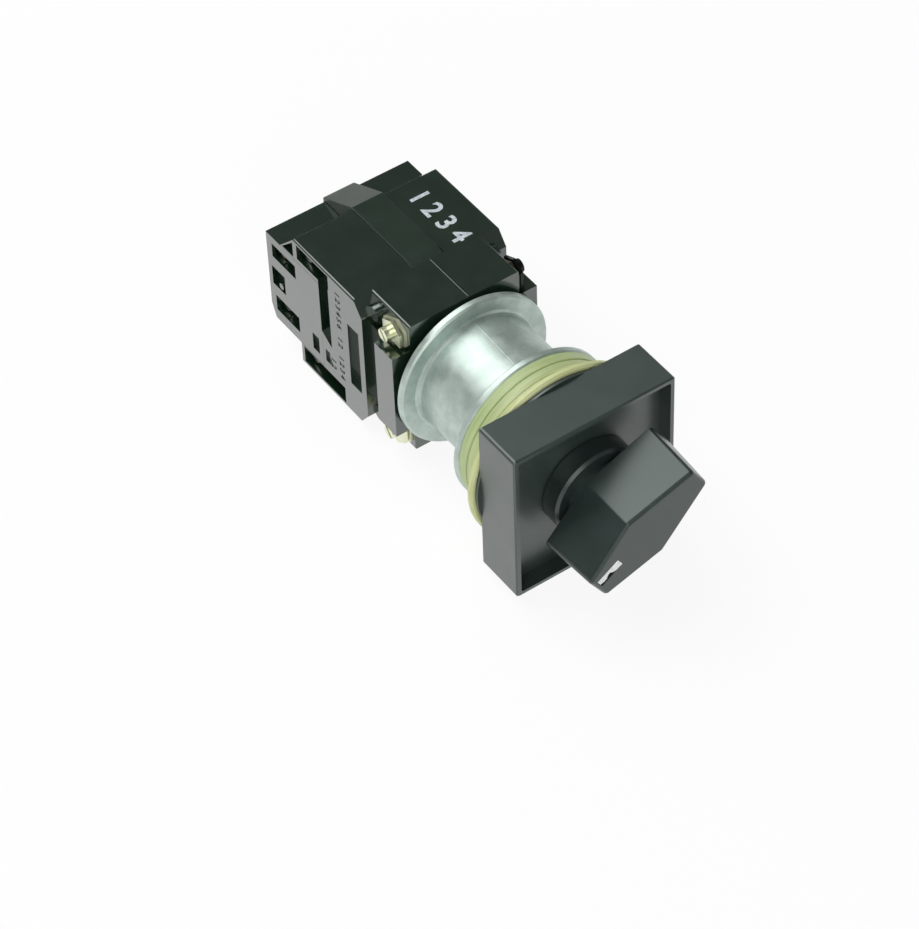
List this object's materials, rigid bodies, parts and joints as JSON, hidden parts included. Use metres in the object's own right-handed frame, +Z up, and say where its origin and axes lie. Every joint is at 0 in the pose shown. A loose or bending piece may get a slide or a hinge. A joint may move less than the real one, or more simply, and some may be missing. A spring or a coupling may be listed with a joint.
{
  "type": "panel selector switch",
  "caption": "Black panel selector switch: turned lever on a square bezel, pale gaskets, zinc collar and a contact block with slotted screw terminals.",
  "frame": {"origin": "on the knob's turning axis, in the plane where the last gasket meets the collar's front flange: the panel seat", "axes": "+Y along the turning axis from the knob to the contact block, +Z up, +X to the right as seen from the knob"},
  "size_m": [0.0444, 0.1115, 0.0444],
  "materials": {
    "bezel_black": "moulded, faint sheen",
    "knob_black": "moulded, satin",
    "housing_black": "moulded thermoset, satin",
    "inner_plastic": "moulded, plain",
    "white_filling": "paint, worn",
    "gasket": "pale yellow-green, translucent",
    "seal_rubber": "black",
    "zinc": "die-cast zinc, dull grey",
    "steel": "plain",
    "contact_brass": "plain",
    "yellow_zinc": "zinc plated, yellow chromated"
  },
  "bodies": {
    "switch_body": {"bezel": "bezel_black", "wide_gasket": "gasket", "round_gasket_front": "gasket", "round_gasket_middle": "gasket", "round_gasket_rear": "gasket", "collar": "zinc", "shaft_seal": "seal_rubber", "contact_housing": "housing_black", "rear_block": "housing_black", "latch_strap": "housing_black", "return_spring_upper": "steel", "return_spring_lower": "steel", "terminal_strips": "contact_brass", "clamp_plates_front": "yellow_zinc", "clamp_plates_small": "yellow_zinc", "terminal_screws_front": "yellow_zinc", "terminal_screws_middle": "steel", "terminal_screws_rear": "steel", "long_screws": "steel"},
    "turning_knob": {"knob": "knob_black", "pointer": "white_filling", "shaft": "steel", "cam_rotor": "inner_plastic", "rotor_screw": "steel", "detent_ball": "steel", "detent_spring": "steel"},
    "upper_rod": {"push_rod_upper": "inner_plastic", "bridges_upper": "contact_brass"},
    "lower_rod": {"push_rod_lower": "inner_plastic", "bridges_lower": "contact_brass"}
  },
  "joints": [
    {"name": "knob_turn", "type": "hinge", "parent": "switch_body", "child": "turning_knob", "pos_m": [0, 0, 0], "axis": [0, 1, 0], "range_deg": [0, 66.8]},
    {"name": "upper_rod_slide", "type": "slide", "parent": "switch_body", "child": "upper_rod", "axis": [0, 1, 0], "range_m": [0, 0.0024], "deforming": ["return_spring_upper"]},
    {"name": "lower_rod_slide", "type": "slide", "parent": "switch_body", "child": "lower_rod", "axis": [0, 1, 0], "range_m": [-0.0024, 0], "deforming": ["return_spring_lower"]}
  ],
  "couplings": [
    {"joint": "upper_rod_slide", "follows": "knob_turn", "m_per_rad": 0.002058},
    {"joint": "lower_rod_slide", "follows": "knob_turn", "m_per_rad": -0.002058}
  ]
}
